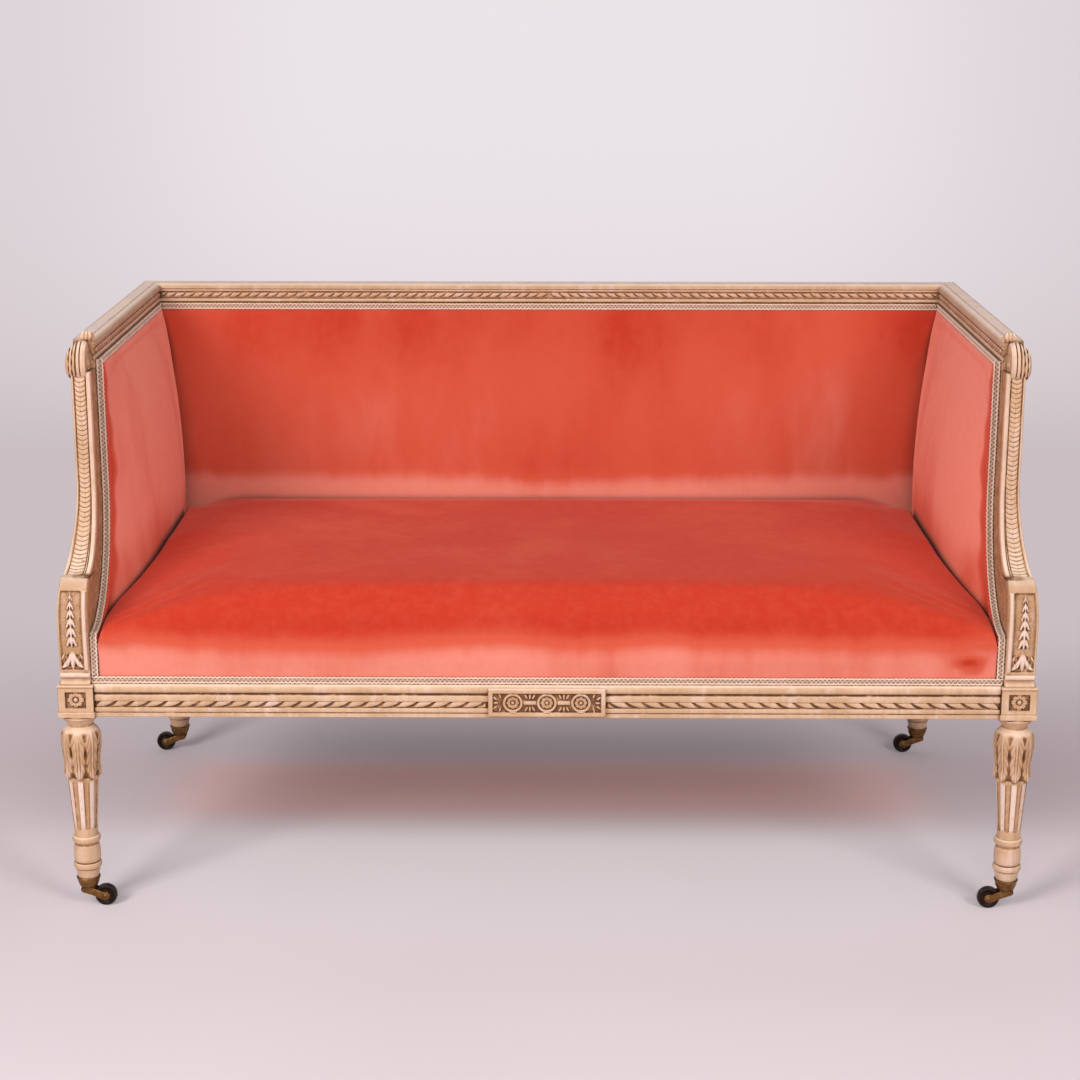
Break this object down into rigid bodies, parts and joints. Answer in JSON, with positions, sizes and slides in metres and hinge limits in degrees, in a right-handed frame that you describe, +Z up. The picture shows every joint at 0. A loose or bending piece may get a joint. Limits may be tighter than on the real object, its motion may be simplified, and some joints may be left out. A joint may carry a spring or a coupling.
{
  "type": "box settee",
  "caption": "Carved and painted box settee in the Louis XVI manner with scrolled arms, level back, turned legs on castors and velvet upholstery edged with braid.",
  "frame": {"origin": "on the floor, under the middle of the width and of the depth", "axes": "+Z up, +X to the right seen from the front, the seat faces -Y"},
  "size_m": [1.3568, 0.6984, 0.8095],
  "materials": {
    "painted_wood": "cream antiqued paint, rubbed, with ochre glaze in the carving",
    "bare_wood": "bare beech",
    "velvet": "coral velvet with a rubbed nap",
    "braid": "ecru woven braid",
    "brass": "dark aged brass",
    "dark_wheel": "near black brown, worn smooth",
    "jute": "plain jute cloth",
    "cambric": "thin black cotton",
    "steel": "drawn spring wire"
  },
  "bodies": {
    "root": {"arm_hessian_left": "jute", "arm_hessian_right": "jute", "arm_pad_left": "velvet", "arm_pad_right": "velvet", "arm_rail_left": "painted_wood", "arm_rail_right": "painted_wood", "arm_support_left": "painted_wood", "arm_support_right": "painted_wood", "back_hessian": "jute", "back_pad": "velvet", "back_seat_rail": "painted_wood", "back_top_rail": "painted_wood", "braid_arm_left": "braid", "braid_arm_right": "braid", "braid_back": "braid", "braid_seat": "braid", "castor_front_left_cup": "brass", "castor_front_right_cup": "brass", "castor_rear_left_cup": "brass", "castor_rear_right_cup": "brass", "corner_brace_front_left": "bare_wood", "corner_brace_front_right": "bare_wood", "corner_brace_rear_left": "bare_wood", "corner_brace_rear_right": "bare_wood", "dust_cover": "cambric", "front_seat_rail": "painted_wood", "leg_front_left": "painted_wood", "leg_front_right": "painted_wood", "leg_post_rear_left": "painted_wood", "leg_post_rear_right": "painted_wood", "outside_arm_panel_left": "velvet", "outside_arm_panel_right": "velvet", "outside_back_panel": "velvet", "seat_pad": "velvet", "seat_springs": "steel", "seat_webbing": "jute", "side_seat_rail_left": "painted_wood", "side_seat_rail_right": "painted_wood"},
    "castor_front_left_swivel": {"castor_front_left_fork": "brass", "castor_front_left_axle": "brass"},
    "castor_front_left_roller": {"castor_front_left_wheel": "dark_wheel"},
    "castor_front_right_swivel": {"castor_front_right_fork": "brass", "castor_front_right_axle": "brass"},
    "castor_front_right_roller": {"castor_front_right_wheel": "dark_wheel"},
    "castor_rear_left_swivel": {"castor_rear_left_fork": "brass", "castor_rear_left_axle": "brass"},
    "castor_rear_left_roller": {"castor_rear_left_wheel": "dark_wheel"},
    "castor_rear_right_swivel": {"castor_rear_right_fork": "brass", "castor_rear_right_axle": "brass"},
    "castor_rear_right_roller": {"castor_rear_right_wheel": "dark_wheel"}
  },
  "joints": [
    {"name": "castor_front_left_swivel_turn", "type": "hinge", "parent": "root", "child": "castor_front_left_swivel", "pos_m": [-0.651, -0.3218, 0.03], "axis": [0, 0, 1], "continuous": true},
    {"name": "castor_front_left_wheel_roll", "type": "hinge", "parent": "castor_front_left_swivel", "child": "castor_front_left_roller", "pos_m": [-0.627, -0.3218, 0.0155], "axis": [0, 1, 0], "continuous": true},
    {"name": "castor_front_right_swivel_turn", "type": "hinge", "parent": "root", "child": "castor_front_right_swivel", "pos_m": [0.651, -0.3218, 0.03], "axis": [0, 0, 1], "continuous": true},
    {"name": "castor_front_right_wheel_roll", "type": "hinge", "parent": "castor_front_right_swivel", "child": "castor_front_right_roller", "pos_m": [0.627, -0.3218, 0.0155], "axis": [0, 1, 0], "continuous": true},
    {"name": "castor_rear_left_swivel_turn", "type": "hinge", "parent": "root", "child": "castor_rear_left_swivel", "pos_m": [-0.625, 0.3187, 0.03], "axis": [0, 0, 1], "continuous": true},
    {"name": "castor_rear_left_wheel_roll", "type": "hinge", "parent": "castor_rear_left_swivel", "child": "castor_rear_left_roller", "pos_m": [-0.649, 0.3187, 0.0155], "axis": [0, 1, 0], "continuous": true},
    {"name": "castor_rear_right_swivel_turn", "type": "hinge", "parent": "root", "child": "castor_rear_right_swivel", "pos_m": [0.625, 0.3187, 0.03], "axis": [0, 0, 1], "continuous": true},
    {"name": "castor_rear_right_wheel_roll", "type": "hinge", "parent": "castor_rear_right_swivel", "child": "castor_rear_right_roller", "pos_m": [0.601, 0.3187, 0.0155], "axis": [0, 1, 0], "continuous": true}
  ]
}
